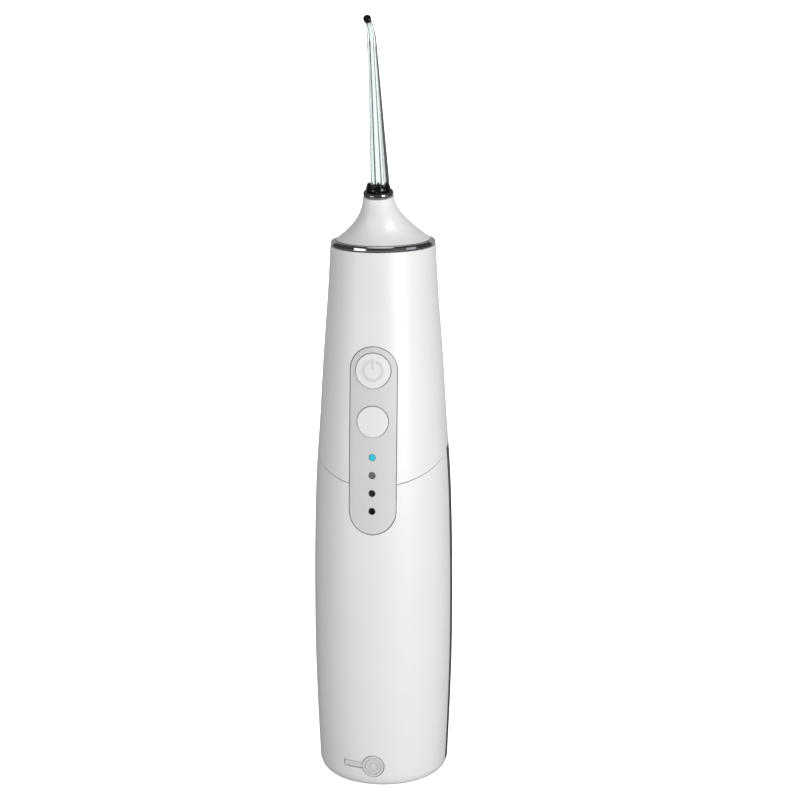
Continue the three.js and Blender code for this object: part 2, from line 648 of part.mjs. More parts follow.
const flosser = new THREE.Group();
const head = new THREE.Group();
head.position.set(0, -HEAD.forward, HEAD.z);
head.rotation.x = HEAD.lean;
flosser.add(head);

function add(name, geometry, finish, parent = flosser) {
  const mesh = new THREE.Mesh(geometry, materials[finish]);
  mesh.name = name;
  parent.add(mesh);
  return mesh;
}

// Handle
add("upper_housing", upperHousing(), "whiteShell");
add("front_housing", frontHousing(), "whiteShell");
add("neck_cover", neckCover(), "whiteShell");
const trim = add("trim_ring", trimRing(), "chrome");
trim.position.z = RING_SEAT.z;
trim.rotation.x = Math.atan(RING_SEAT.slope);

// Control panel
add("control_panel", controlPanel(), "greyPanel");
add("power_button", button(POWER_BUTTON), "silverCap");
add("mode_button", button(MODE_BUTTON), "silverCap");
add("circuit_board", box([-BOARD.halfWidth, BOARD.halfWidth], BOARD.y, BOARD.z), "board");
add("power_switch", tactSwitch(POWER_BUTTON.z), "black");
add("mode_switch", tactSwitch(MODE_BUTTON.z), "black");
ledHeights().forEach((z, i) => {
  add(`led_lens_${i + 1}`, ledLens(z), i === 0 ? "litLens" : "darkLens");
});

// Charging port
add("charge_plug", chargePlug(), "greyRubber");
add("charging_jack", chargingJack(), "black");

// Battery
add("battery_cell", turned([
  [0, CELL.bottom], [CELL.radius, CELL.bottom], [CELL.radius, CELL.top], [2.8, CELL.top], [2.8, CELL.top + 1],
  [0, CELL.top + 1]], 24).translate(0, CELL.y, 0), "cellWrap");
add("battery_cradle", join(
  box([-8, 8], [-6.9, -5.4], [34, 93.5]),
  box([-6, 6], [-19, -6], [34, 35.8]),
  box([-6, 6], [-19, -6], [91.7, 93.5])), "innerPlastic");
add("battery_contact_bottom", box([-3, 3], [-17.5, -11], [36.3, 37.3]), "steel");
add("battery_contact_top", box([-3, 3], [-17.5, -11], [89.6, 90.6]), "steel");

// Motor, gears and pump
add("motor_case", motorCase(), "steel");
add("motor_end_cap", upright(9.6, [133.6, 135.4], motorAt, 24), "black");
add("motor_shaft", upright(SHAFT_RADIUS, [137, 171.2], motorAt, 12), "steel");
add("motor_pinion", gear(PINION_TEETH, Math.PI / 2, SHAFT_RADIUS + GAP, [166.8, 170.4], motorAt), "steel");
add("gear_plate", gearPlate(), "innerPlastic");
add("gear_axle", upright(AXLE_RADIUS, [164.9, CRANK.top - 0.2], gearAt, 12), "steel");
add("crank_gear", gear(GEAR_TEETH, Math.PI / 2 + Math.PI / GEAR_TEETH, AXLE_RADIUS + GAP, GEAR_Z, gearAt), "innerPlastic");
add("crank_pin", crankPin(), "steel");
MOTOR_SCREWS.forEach((at, i) => add(`motor_screw_${i + 1}`, screwAt(at, 5), "steel"));
PLATE_SCREWS.forEach((at, i) => add(`plate_screw_${i + 1}`, screwAt(at, 7), "steel"));
add("pump_cylinder", pumpCylinder(), "innerPlastic");
add("inlet_valve", alongX(1.1, [-7.1, -5.5], [PORT_Y, PUMP.z], 8), "sealRubber");
add("outlet_valve", upright(1.1, [PUMP.z + 5.3, PUMP.z + 6.9], [0, PORT_Y], 8), "sealRubber");
add("piston", piston(), "innerPlastic");
add("piston_yoke", yoke(), "innerPlastic");
add("piston_seal", ring(3.5, 0.38).rotateX(Math.PI / 2).translate(0, -8, PUMP.z), "sealRubber");
add("inlet_hose", hose(HOSE_ROUTE, 1.8, 1.0, 20), "hose");
add("outlet_hose", hose(OUTLET_ROUTE, 2.0, 1.0, 8), "hose");
Object.entries(LEADS).forEach(([name, route]) => add(name, hose(route, 0.7, 0, 10, 3), "wire"));
add("suction_spigot", cut(
  join(alongY(2.0, [-9.2, 3.6], [0, SPIGOT_Z]), alongY(4, [-7, -5.4], [0, SPIGOT_Z])),
  alongY(1.0, [-20, 10], [0, SPIGOT_Z], 10)), "innerPlastic");

// Tank
add("tank_cup", tankCup(), "smoked");
add("tank_upper_half", tankUpperHalf(), "smoked");
add("tank_seal", tankSeal(), "sealRubber");
add("filler_flap", fillerFlap(), "smoked");
add("filler_hinge_pin", alongX(0.5, [-4.7, 4.7], [hingeY(), FLAP.hingeZ], 10), "steel");
add("suction_elbow", suctionElbow(), "innerPlastic");
add("suction_tube", hose([[0, 2.2, 107.2], [0, 2.2, 60], [0, 2.2, 9.4]], 1.8, 1.0, 2), "hose");
add("suction_filter", cut(upright(3.4, [5, 9.1], [0, 2.2], 14), upright(1.2, [7, 12], [0, 2.2], 8)), "sealRubber");
add("tank_port_seal", ring(2.9, 0.4).rotateX(Math.PI / 2).translate(0, -2.4, SPIGOT_Z), "sealRubber");

// Head
add("nozzle_socket", nozzleSocket(), "innerPlastic", head);
add("swivel_collar", swivelCollar(), "chrome", head);
add("nozzle", nozzle(), "clear", head);
add("nozzle_ring", nozzleRing(), "black", head);
add("nozzle_seal", ring(2.6, 0.38, -6.2), "sealRubber", head);
add("orifice_cap", orificeCap(), "black", head);

export default flosser;
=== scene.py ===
# %% [markdown]
# # A cordless water flosser
# The engineering model comes first and stays as it is: it fixes every size and every moving body.
# This script lays finished surfaces over it, one real piece after another, the way a maker would:
# shells, ring, neck, panel, buttons, plug, tank, nozzle. Then it sets the finishes and the studio.

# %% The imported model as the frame
import json
import math

import bmesh
import bpy
from mathutils import Matrix, Vector


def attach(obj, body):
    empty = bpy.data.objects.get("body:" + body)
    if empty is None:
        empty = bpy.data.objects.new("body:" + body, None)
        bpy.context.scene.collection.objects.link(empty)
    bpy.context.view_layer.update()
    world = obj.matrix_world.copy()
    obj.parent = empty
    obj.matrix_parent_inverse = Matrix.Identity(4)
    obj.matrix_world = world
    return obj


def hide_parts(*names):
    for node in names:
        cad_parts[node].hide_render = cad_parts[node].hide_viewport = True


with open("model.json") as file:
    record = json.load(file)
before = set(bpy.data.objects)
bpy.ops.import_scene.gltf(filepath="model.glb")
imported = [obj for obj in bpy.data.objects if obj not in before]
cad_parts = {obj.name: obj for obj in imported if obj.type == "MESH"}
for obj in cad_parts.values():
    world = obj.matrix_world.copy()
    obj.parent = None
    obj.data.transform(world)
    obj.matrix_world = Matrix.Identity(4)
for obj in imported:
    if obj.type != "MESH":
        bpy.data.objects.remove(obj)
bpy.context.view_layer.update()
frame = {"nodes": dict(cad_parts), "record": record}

MM = 0.001
SAME_POINT, SAME_RING, ON_PLANE = 1e-6, 1e-7, 2e-6  # metres within which points count as one, or as on a plane

# %% [markdown]
# ## Camera
# The object stands upright and is seen from a little above its middle and a little to its right.
# The camera comes early, so that every later cell can be looked at through it.

# %% Camera
TARGET = Vector((6.1, 0.98, 143.25)) * MM
AZIMUTH, ELEVATION, DISTANCE, LENS = math.radians(9.085), math.radians(10.28), 0.59, 71.15
towards_camera = Vector((
    math.sin(AZIMUTH) * math.cos(ELEVATION), -math.cos(AZIMUTH) * math.cos(ELEVATION), math.sin(ELEVATION)))
camera = bpy.data.objects.new("camera", bpy.data.cameras.new("camera"))
bpy.context.collection.objects.link(camera)
camera.location = TARGET + towards_camera * DISTANCE
camera.rotation_euler = towards_camera.to_track_quat("Z", "Y").to_euler()
camera.data.lens, camera.data.sensor_width = LENS, 36
camera.data.clip_start, camera.data.clip_end = 0.01, 20
bpy.context.scene.camera = camera
print("camera at", [round(v, 3) for v in camera.location])

# %% [markdown]
# ## Hand tools
# Each helper does one bench job with Blender's own operators. An operator acts on all that is
# selected, so everything is deselected before each job. Modifiers are applied as soon as they are
# set, so that every piece ends as a plain mesh. Merging doubles and turning the faces outwards comes
# after each cut, because a thin leftover sliver would spoil the next one.


# %% Starting and finishing a piece
def deselect_all():
    if bpy.context.object and bpy.context.object.mode != "OBJECT":
        bpy.ops.object.mode_set(mode="OBJECT")
    bpy.ops.object.select_all(action="DESELECT")


def new_piece(name):
    """An empty mesh at the origin, open in edit mode."""
    deselect_all()
    piece = bpy.data.objects.new(name, bpy.data.meshes.new(name))
    bpy.context.collection.objects.link(piece)
    activate(piece)
    bpy.ops.object.mode_set(mode="EDIT")
    return piece


def activate(piece):
    piece.select_set(True)
    bpy.context.view_layer.objects.active = piece


def object_mode(piece):
    deselect_all()
    activate(piece)


def apply(piece, kind, **settings):
    """Adds one modifier, sets it, and applies it."""
    object_mode(piece)
    modifier = piece.modifiers.new(kind.title(), kind)
    for name, value in settings.items():
        setattr(modifier, name, value)
    bpy.ops.object.modifier_apply(modifier=modifier.name)
    return piece


def face_outwards(piece):
    """Merges doubles and makes every face point away from the piece's middle."""
    object_mode(piece)
    bpy.ops.object.mode_set(mode="EDIT")
    bpy.ops.mesh.select_all(action="SELECT")
    bpy.ops.mesh.remove_doubles(threshold=SAME_POINT)
    bpy.ops.mesh.normals_make_consistent(inside=False)
    faces = bmesh.from_edit_mesh(piece.data).faces
    area = sum(f.calc_area() for f in faces)
    middle = sum((f.calc_center_median() * f.calc_area() for f in faces), Vector()) / area
    if sum((f.calc_center_median() - middle).dot(f.normal) * f.calc_area() for f in faces) < 0:
        bpy.ops.mesh.flip_normals()
    bpy.ops.object.mode_set(mode="OBJECT")
    return piece


def smooth(piece, angle=32):
    """Smooth shading up to an angle, with the large faces setting the normals."""
    object_mode(piece)
    bpy.ops.object.shade_smooth_by_angle(angle=math.radians(angle))
    return apply(piece, "WEIGHTED_NORMAL", keep_sharp=True, weight=80)


# %% [markdown]
# A turned surface is what a lathe or a round mould gives: a ring of points is drawn upwards and
# resized, step by step. A loft does the same along a leaning or bent axis, where each ring also tips.
# Moving the ring's points straight to their places keeps the rings from twisting on the way.


# %% Turned surfaces and lofts
def weld():
    bpy.ops.mesh.select_all(action="SELECT")
    bpy.ops.mesh.remove_doubles(threshold=SAME_RING)


def turned(name, profile, sides=128):
    """A surface of revolution about Z: a ring drawn upwards and resized at each (radius, z) step."""
    piece = new_piece(name)
    bpy.ops.mesh.primitive_circle_add(vertices=sides, radius=profile[0][0] * MM, location=(0, 0, profile[0][1] * MM))
    for (r0, z0), (r1, z1) in zip(profile, profile[1:]):
        bpy.ops.mesh.extrude_edges_move(TRANSFORM_OT_translate={"value": (0, 0, (z1 - z0) * MM)})
        bpy.ops.transform.resize(value=(r1 / r0, r1 / r0, 1), center_override=(0, 0, z1 * MM))
    if profile[0] == profile[-1]:
        weld()
    return piece


def select_points(piece, test):
    mesh = bmesh.from_edit_mesh(piece.data)
    bpy.ops.mesh.select_all(action="DESELECT")
    for point in mesh.verts:
        point.select = test(point)
    mesh.select_flush(True)
    bmesh.update_edit_mesh(piece.data)


def select_rim(piece, z, slope=0.0):
    """Picks the points on a level plane, or on one that climbs towards the back."""
    select_points(piece, lambda p: abs(p.co.z - z * MM - slope * p.co.y) < ON_PLANE)


def cap(piece, z, slope=0.0):
    select_rim(piece, z, slope)
    bpy.ops.mesh.edge_face_add()


def uncap(piece, z, slope=0.0):
    select_rim(piece, z, slope)
    bpy.ops.mesh.delete(type="ONLY_FACE")


def ring_points(ring, angles):
    """Where a ring's points lie: round, or drawn in to six flats as far as flats says."""
    place = Matrix.Translation(ring["centre"]) @ Matrix.Rotation(ring.get("lean", 0.0), 4, "X")
    for angle in angles:
        off_corner = (angle - ring.get("turn", 0.0)) % (math.pi / 3) - math.pi / 6
        flat = math.cos(math.pi / 6) / math.cos(off_corner)
        radius = ring["radius"] * (1 + (flat - 1) * ring.get("flats", 0.0))
        yield place @ Vector((radius * math.cos(angle), radius * math.sin(angle), 0)) * MM


def loft(name, rings, sides=96, closed=True):
    """A ring drawn out of the last one and set in its place, again and again. Closed, it ends on the first."""
    piece = new_piece(name)
    bpy.ops.mesh.primitive_circle_add(vertices=sides, radius=MM)
    mesh = bmesh.from_edit_mesh(piece.data)
    angles = [math.atan2(p.co.y, p.co.x) for p in mesh.verts]
    for i, ring in enumerate(rings + ([rings[0]] if closed else [])):
        if i:
            bpy.ops.mesh.extrude_edges_move()
            mesh = bmesh.from_edit_mesh(piece.data)
        mesh.verts.ensure_lookup_table()
        points = [p for p in mesh.verts if p.select]
        if i:
            angles = [last_angle[next(e.other_vert(p).index for e in p.link_edges if not e.select)] for p in points]
        for point, place in zip(points, ring_points(ring, angles)):
            point.co = place
        mesh.verts.index_update()
        last_angle = {p.index: a for p, a in zip(points, angles)}
        bmesh.update_edit_mesh(piece.data)
    if closed:
        weld()
    return face_outwards(piece)


# %% [markdown]
# A moulding has an even wall, so a skin is cut to its outline first and then given its thickness
# inwards. Its rims are rounded next, and openings are carved last, so that they stay crisp. The exact
# solver is slower than the other one, but it closes the thin walls that these pieces have.


# %% Cutting, walling, rounding and carving
def bisect(piece, point, normal):
    """Cuts the open piece with a plane, clears what is on the normal's side and fills the cut."""
    bpy.ops.mesh.select_all(action="SELECT")
    bpy.ops.mesh.bisect(
        plane_co=Vector(point) * MM, plane_no=normal, use_fill=True, clear_outer=True, threshold=SAME_POINT)


def wall(piece, thickness):
    face_outwards(piece)
    return apply(piece, "SOLIDIFY", thickness=thickness * MM, offset=-1, use_even_offset=True)


def round_edges(piece, width, segments=2, angle=38):
    return apply(
        piece, "BEVEL", width=width * MM, segments=segments, limit_method="ANGLE",
        angle_limit=math.radians(angle), use_clamp_overlap=True, miter_outer="MITER_ARC")


def carve(piece, *tools, operation="DIFFERENCE"):
    for tool in tools:
        apply(piece, "BOOLEAN", object=tool, operation=operation, solver="EXACT")
        bpy.data.objects.remove(tool)
        face_outwards(piece)
    return piece


def rod(radius, span, at, axis="Y", sides=64):
    """A plain cylinder along an axis, used to carve with or as a start for a piece."""
    piece = new_piece("rod")
    turn = {"X": (0, math.pi / 2, 0), "Y": (math.pi / 2, 0, 0), "Z": (0, 0, 0)}[axis]
    middle = Vector({"X": (sum(span) / 2, *at), "Y": (at[0], sum(span) / 2, at[1]), "Z": (*at, sum(span) / 2)}[axis])
    bpy.ops.mesh.primitive_cylinder_add(
        vertices=sides, radius=radius * MM, depth=(span[1] - span[0]) * MM, location=middle * MM, rotation=turn)
    bpy.ops.object.mode_set(mode="OBJECT")
    return piece


def block(x, y, z):
    piece = new_piece("block")
    centre = Vector((sum(x), sum(y), sum(z))) / 2
    bpy.ops.mesh.primitive_cube_add(size=1, location=centre * MM)
    size = [(v[1] - v[0]) * MM for v in (x, y, z)]
    bpy.ops.transform.resize(value=size, center_override=centre * MM)
    bpy.ops.object.mode_set(mode="OBJECT")
    return piece


# %% [markdown]
# ## The handle's outer form
# Every shell, inlay and button follows one turned form, fullest below the middle and slimmest under
# the ring. It is a smooth curve through ten measured radii, the same ones that the model was cut from.

# %% The form's curve
BODY_KNOTS = [
    (0, 24.3), (25, 25.4), (50, 26.1), (80, 26.1), (104, 25.6), (120, 24.9),
    (135, 23.8), (160, 22.2), (185, 20.3), (206, 19.1)]
WALL, TANK_WALL, GAP, SEAM_GAP = 1.8, 1.6, 0.3, 0.14
SEAM_Z, SEAM_SLOPE = 127.7, 0.472
SEAT_Z, SEAT_SLOPE = 201.7, 0.084
SPLIT_Y, TANK_SPLIT_Z = -3.3, 77.0
BASE_FILLET = 4.2


def catmull_rom(knots, share):
    along = (len(knots) - 1) * share
    k = min(int(along), len(knots) - 2)
    t = along - k
    p = [knots[min(max(k + i, 0), len(knots) - 1)] for i in (-1, 0, 1, 2)]

    def blend(a, b, c, d):
        v0, v1 = (c - a) / 2, (d - b) / 2
        return (2 * b - 2 * c + v0 + v1) * t**3 + (-3 * b + 3 * c - 2 * v0 - v1) * t**2 + v0 * t + b

    return blend(*[q[0] for q in p]), blend(*[q[1] for q in p])


samples = [catmull_rom(BODY_KNOTS, i / 360) for i in range(361)]


def body_radius(z):
    for low, high in zip(samples, samples[1:]):
        if high[0] >= z:
            return low[1] + (high[1] - low[1]) * (z - low[0]) / (high[0] - low[0])
    return samples[-1][1]


def form(low, high, step=3.0, offset=0.0):
    count = max(1, round((high - low) / step))
    heights = [low + (high - low) * i / count for i in range(count + 1)]
    return [(body_radius(z) + offset, z) for z in heights]


def standing_form(high):
    edge = [math.radians(d) for d in (0, 15, 30, 45, 60, 75)]
    foot = [(body_radius(0) - BASE_FILLET * (1 - math.sin(t)), BASE_FILLET * (1 - math.cos(t))) for t in edge]
    return foot + form(BASE_FILLET, high)


def slant(piece, low, high, low_slope, high_z, high_slope):
    """Slides an open piece's rings along the form, from a slope at the low end to one at the high end."""
    mesh = bmesh.from_edit_mesh(piece.data)
    for point in mesh.verts:
        z = point.co.z / MM
        if low - 1e-4 <= z:
            share = (z - low) / (high - low)
            level, slope = low + (high_z - low) * share, low_slope + (high_slope - low_slope) * share
            away = point.co.xy.normalized()
            for _ in range(6):  # the height settles, as the radius changes a little with it
                z = level + slope * away.y * body_radius(z)
            point.co = (*(away * body_radius(z) * MM), z * MM)
    bmesh.update_edit_mesh(piece.data)


print("widest:", round(2 * max(r for _, r in samples), 2), "mm")

# %% [markdown]
# Inlays, caps and the plug lie in the handle's curved surface. Each is a slice of skin: a thin shell
# that follows the form, kept only where a straight bar passes through it, as a stamped foil would be.
# Bending a flat plate to the form would also do, but a slice can't part from the shell round it.

# %% A slice of the handle's skin
BAR_START, BAR_LENGTH = -0.035, 0.03


def skin(low, high, outside, inside):
    outer = form(low, high, 1.5, outside)
    inner = form(low, high, 1.5, inside)[::-1]
    return face_outwards(turned("skin", outer + inner + outer[:1], sides=192))


def slice_of_skin(name, bar, low, high, outside, inside):
    bar.name = bar.data.name = name
    return carve(bar, skin(low, high, outside, inside), operation="INTERSECT")


def slot_bar(half_width, low, high):
    """A bar along Y, round-ended about two heights: a ring pulled apart into a slot, and drawn backwards."""
    piece = new_piece("slot")
    middle = (low + high) / 2
    bpy.ops.mesh.primitive_circle_add(
        vertices=64, radius=half_width * MM, fill_type="NGON",
        location=(0, BAR_START, middle * MM), rotation=(math.pi / 2, math.pi / 64, 0))
    reach = (high - low) / 2
    select_points(piece, lambda p: p.co.z > middle * MM)
    bpy.ops.transform.translate(value=(0, 0, reach * MM))
    select_points(piece, lambda p: p.co.z < middle * MM)
    bpy.ops.transform.translate(value=(0, 0, -reach * MM))
    bpy.ops.mesh.select_all(action="SELECT")
    bpy.ops.mesh.extrude_region_move(TRANSFORM_OT_translate={"value": (0, BAR_LENGTH, 0)})
    return face_outwards(piece)


# %% [markdown]
# ## Finishes
# Each finish is named for its real material and process. The patterns use object coordinates in
# metres, so a scale of 1000 repeats about once a millimetre.


# %% Colour and node helpers
def colour(hex_value):
    """An sRGB hex colour as linear numbers."""
    parts = [int(hex_value[i:i + 2], 16) / 255 for i in (1, 3, 5)]
    return (*[c / 12.92 if c <= 0.04045 else ((c + 0.055) / 1.055) ** 2.4 for c in parts], 1)


def new_finish(name):
    material = bpy.data.materials.new(name)
    material.use_nodes = True
    return material, material.node_tree, material.node_tree.nodes["Principled BSDF"]


def node(tree, kind, settings=(), links=()):
    """Adds a node, sets its properties and inputs, and links other nodes' outputs to its inputs."""
    made = tree.nodes.new(kind)
    for name, value in dict(settings).items():
        if name in made.inputs:
            made.inputs[name].default_value = value
        else:
            setattr(made, name, value)
    for name, output in dict(links).items():
        tree.links.new(output, made.inputs[name])
    return made


def set_shader(tree, shader, settings=(), links=()):
    for name, value in dict(settings).items():
        shader.inputs[name].default_value = value
    for name, output in dict(links).items():
        tree.links.new(output, shader.inputs[name])


# %% [markdown]
# Most of the pieces are moulded plastic, rubber or plated. What the eye reads in them is a slow
# drift of tone over some centimetres, a fine spark-eroded texture in the gloss, and its tiny relief.
# Real grain of a twentieth of a millimetre would not show, so it is drawn several times as coarse.

# %% Moulded, plated and drawn finishes
MIX_A, MIX_B, MIX_RESULT = 6, 7, 2  # where a colour mix keeps its two colours and its result
# name: base colour, shade colour, roughness low and high, metallic, IOR, grain mm, relief, extras
FINISHES = {
    # moulded ABS: a soft, wide highlight under a thin clear skin
    "abs_satin_white": (
        "#EFEFEE", "#EAEAE9", 0.36, 0.44, 0, 1.53, 0.35, 0.02,
        {"Coat Weight": 1.0, "Coat Roughness": 0.4, "Coat IOR": 1.6}),
    # printed film: flatter and greyer than the shell
    "polycarbonate_matt_grey_inlay": ("#D9D9D9", "#D2D2D2", 0.40, 0.50, 0, 1.58, 0.25, 0.05, {}),
    # keys: a little glossier than the panel, and the sign on them a little darker
    "abs_pale_key": (
        "#EEEEEE", "#E6E6E7", 0.30, 0.38, 0, 1.53, 0.25, 0.03, {"Coat Weight": 0.2, "Coat Roughness": 0.2}),
    "abs_key_sign": ("#DEDEDF", "#D6D6D8", 0.35, 0.42, 0, 1.53, 0.25, 0.03, {}),
    # plating over plastic: a near mirror with a trace of orange peel
    "chrome_plated_abs": ("#D9DADC", "#CFD1D4", 0.05, 0.09, 1, 1.5, 0.8, 0.01, {}),
    # rubbers: dull, with no clear highlight
    "silicone_grey_plug": ("#DADAD8", "#D2D2D0", 0.52, 0.64, 0, 1.43, 0.3, 0.06, {}),
    "nitrile_rubber_black": ("#232425", "#191A1B", 0.60, 0.75, 0, 1.52, 0.3, 0.1, {}),
    # polished mould: black with small sharp highlights
    "abs_gloss_black": ("#0E0F10", "#070708", 0.12, 0.20, 0, 1.53, 0.5, 0.01, {"Coat Weight": 0.5}),
    # inner works: milky acetal, plated steel, board laminate, cell wrap and lead insulation
    "acetal_natural": ("#E4E3DC", "#D8D7CF", 0.38, 0.48, 0, 1.48, 0.3, 0.04, {}),
    "nickel_plated_steel": ("#BFC1C4", "#A5A8AC", 0.22, 0.36, 1, 1.5, 0.15, 0.04, {}),
    "epoxy_glass_board": ("#1C5E3C", "#154A2F", 0.35, 0.5, 0, 1.55, 0.5, 0.05, {}),
    "pvc_cell_wrap_blue": ("#2C6FB5", "#235C99", 0.30, 0.42, 0, 1.54, 1.5, 0.03, {}),
    "pvc_lead_red": ("#B4261F", "#8E1C17", 0.40, 0.55, 0, 1.54, 0.3, 0.03, {}),
    # light pipes: one lit from behind, the others darker down the row
    "light_pipe_cyan_lit": (
        "#2FC6DC", "#25B4CC", 0.20, 0.28, 0, 1.58, 0.4, 0.01,
        {"Emission Color": colour("#22BCD2"), "Emission Strength": 0.15}),
    "light_pipe_dim": ("#7B7B7C", "#5A5A5B", 0.20, 0.3, 0, 1.58, 0.6, 0.01, {}),
    "light_pipe_dark": ("#2B2B2A", "#222221", 0.16, 0.22, 0, 1.58, 0.4, 0.01, {}),
    "light_pipe_off": ("#151515", "#0F0F10", 0.14, 0.2, 0, 1.58, 0.4, 0.01, {}),
}
finish = {}
for name, (light, shade, low, high, metallic, ior, grain, relief, extras) in FINISHES.items():
    finish[name], tree, shader = new_finish(name)
    place = node(tree, "ShaderNodeTexCoord").outputs["Object"]
    drift = node(tree, "ShaderNodeTexNoise", {"Scale": 28.0, "Detail": 3.0}, {"Vector": place})
    speck = node(tree, "ShaderNodeTexNoise", {"Scale": 1000 / grain, "Detail": 2.0}, {"Vector": place})
    tone = node(tree, "ShaderNodeMix", {"data_type": "RGBA"}, {"Factor": drift.outputs["Fac"]})
    tone.inputs[MIX_A].default_value, tone.inputs[MIX_B].default_value = colour(light), colour(shade)
    gloss = node(tree, "ShaderNodeMapRange", {"To Min": low, "To Max": high}, {"Value": speck.outputs["Fac"]})
    bump = node(
        tree, "ShaderNodeBump", {"Strength": relief, "Distance": 0.0001}, {"Height": speck.outputs["Fac"]})
    set_shader(
        tree, shader, {"Metallic": metallic, **({} if metallic else {"IOR": ior}), **extras},
        {"Base Color": tone.outputs[MIX_RESULT], "Roughness": gloss.outputs["Result"],
         "Normal": bump.outputs["Normal"]})
print(len(finish), "opaque finishes")

# %% [markdown]
# Three finishes let light through: the clear nozzle, the smoked tank and the milky hoses. Their tone
# comes from the light that they pass, so they use transmission with a faint body colour.

# %% See-through finishes
# name: body colour, faint second tone, transmission, roughness low and high, IOR
CLEAR_FINISHES = {
    "acrylic_clear_polished": ("#F4FAF9", "#EEF7F5", 1.0, 0.0, 0.004, 1.49),
    "polycarbonate_smoked": ("#B2B6B6", "#A8ACAC", 0.92, 0.04, 0.08, 1.58),
    "silicone_hose_milky": ("#E6ECEC", "#D6DEDE", 0.55, 0.25, 0.4, 1.43),
}
for name, (light, shade, passing, low, high, ior) in CLEAR_FINISHES.items():
    finish[name], tree, shader = new_finish(name)
    place = node(tree, "ShaderNodeTexCoord").outputs["Object"]
    drift = node(tree, "ShaderNodeTexNoise", {"Scale": 60.0, "Detail": 2.0}, {"Vector": place})
    tone = node(tree, "ShaderNodeMix", {"data_type": "RGBA"}, {"Factor": drift.outputs["Fac"]})
    tone.inputs[MIX_A].default_value, tone.inputs[MIX_B].default_value = colour(light), colour(shade)
    gloss = node(tree, "ShaderNodeMapRange", {"To Min": low, "To Max": high}, {"Value": drift.outputs["Fac"]})
    set_shader(
        tree, shader, {"Transmission Weight": passing, "IOR": ior},
        {"Base Color": tone.outputs[MIX_RESULT], "Roughness": gloss.outputs["Result"]})


def dress(piece, look, body, slot, *replaced):
    """Gives a finished piece its finish, its body and the model nodes it stands for. The slot is not used."""
    piece.data.materials.clear()
    piece.data.materials.append(finish[look])
    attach(piece, body)
    if replaced:
        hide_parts(*replaced)
    faces = len(piece.data.polygons)
    print(f"{piece.name}: {faces} faces, {look}, rides on {body}")
    return piece

# %% [markdown]
# ## Front housing
# The lower front shell is one moulding: the round front wall, the flat divider behind it and the
# base. A turned cup has its rim slanted to the seam. One plane cuts it down to a D, and it is then
# given its wall, which is even all round. The tongue under the tank is added, and the panel's slot
# and the plug's recess are carved.

# %% Front housing
PANEL_HALF, PANEL_TOP, PANEL_BOTTOM = 8.5, 157.8, 106.8
PLUG_Z, PLUG_RADIUS, STRAP_HALF, STRAP_DEG = 8.7, 4.0, 1.0, 26
SPIGOT_Z = 112
plug_pivot_radius = body_radius(PLUG_Z) - 0.6
strap_root = Vector((
    -plug_pivot_radius * math.sin(math.radians(STRAP_DEG)), -plug_pivot_radius * math.cos(math.radians(STRAP_DEG))))


def plug_outline(growth):
    """The plug's disc and strap as one bar, grown for the recess that holds it."""
    half = STRAP_HALF + growth
    disc = rod(PLUG_RADIUS + growth, (-40, -16), (0, PLUG_Z))
    strap = block((strap_root.x, 0), (-40, -16), (PLUG_Z - half, PLUG_Z + half))
    return carve(disc, strap, operation="UNION")


front = turned("front_shell", standing_form(SEAM_Z - SEAM_GAP))
slant(front, 60, SEAM_Z - SEAM_GAP, 0, SEAM_Z - SEAM_GAP, SEAM_SLOPE)
cap(front, 0)
cap(front, SEAM_Z - SEAM_GAP, SEAM_SLOPE)
bisect(front, (0, SPLIT_Y, 0), (0, 1, 0))
uncap(front, SEAM_Z - SEAM_GAP, SEAM_SLOPE)
wall(front, WALL)
round_edges(front, 0.22)
tongue = rod(10, (0, 2.2), (0, 0), "Z", 96)
round_edges(tongue, 0.2)
carve(front, tongue, operation="UNION")
carve(
    front, slot_bar(PANEL_HALF + GAP, PANEL_BOTTOM, PANEL_TOP),
    slice_of_skin("recess", plug_outline(GAP), 1.5, 16.5, 2, -1.5),
    rod(0.9, (PLUG_Z - 1.3, PLUG_Z + 1.3), strap_root, "Z", 24),
    rod(2.9, (-40, -20), (0, PLUG_Z)),
    rod(2.4, (-10, 0), (0, SPIGOT_Z)))
smooth(front)
dress(front, "abs_satin_white", "handle", "white_shell", "front_housing")

# %% [markdown]
# ## Upper housing
# The upper shell slopes at both ends: its lower rim dips to the front where it meets the lower
# half, and its top, which slopes less, carries the ring. Behind the divider it has a floor that
# closes it over the tank. The rims are slanted before they are capped, as a plane cut across the
# rings would leave slivers.

# %% Upper housing
upper = turned("upper_shell", form(SEAM_Z, SEAT_Z - GAP))
slant(upper, SEAM_Z, SEAT_Z - GAP, SEAM_SLOPE, SEAT_Z - GAP, SEAT_SLOPE)
cap(upper, SEAM_Z, SEAM_SLOPE)
wall(upper, WALL)
round_edges(upper, 0.22)
front_opening = rod(21.6, (100, 150), (0, 0), "Z", 96)
carve(front_opening, block((-40, 40), (SPLIT_Y - WALL, 40), (90, 160)))
carve(upper, front_opening, slot_bar(PANEL_HALF + GAP, PANEL_BOTTOM, PANEL_TOP))
smooth(upper)
dress(upper, "abs_satin_white", "handle", "white_shell", "upper_housing")

# %% [markdown]
# ## Neck and ring
# The neck is a trumpet that leans forward. Its rings shrink fast and then slowly, slide forward and
# tip as they climb, outside up and inside down, so that it has a wall. A turned form bent afterwards
# would also do, but bending needs a window.

# %% Neck cover
HEAD_FORWARD, HEAD_Z, HEAD_LEAN = 9.5, 219.4, math.radians(14)
RING_HEIGHT = 1.6
NECK_BASE, NECK_TOP, NECK_FLARE = 17.4, 5.6, 1.9


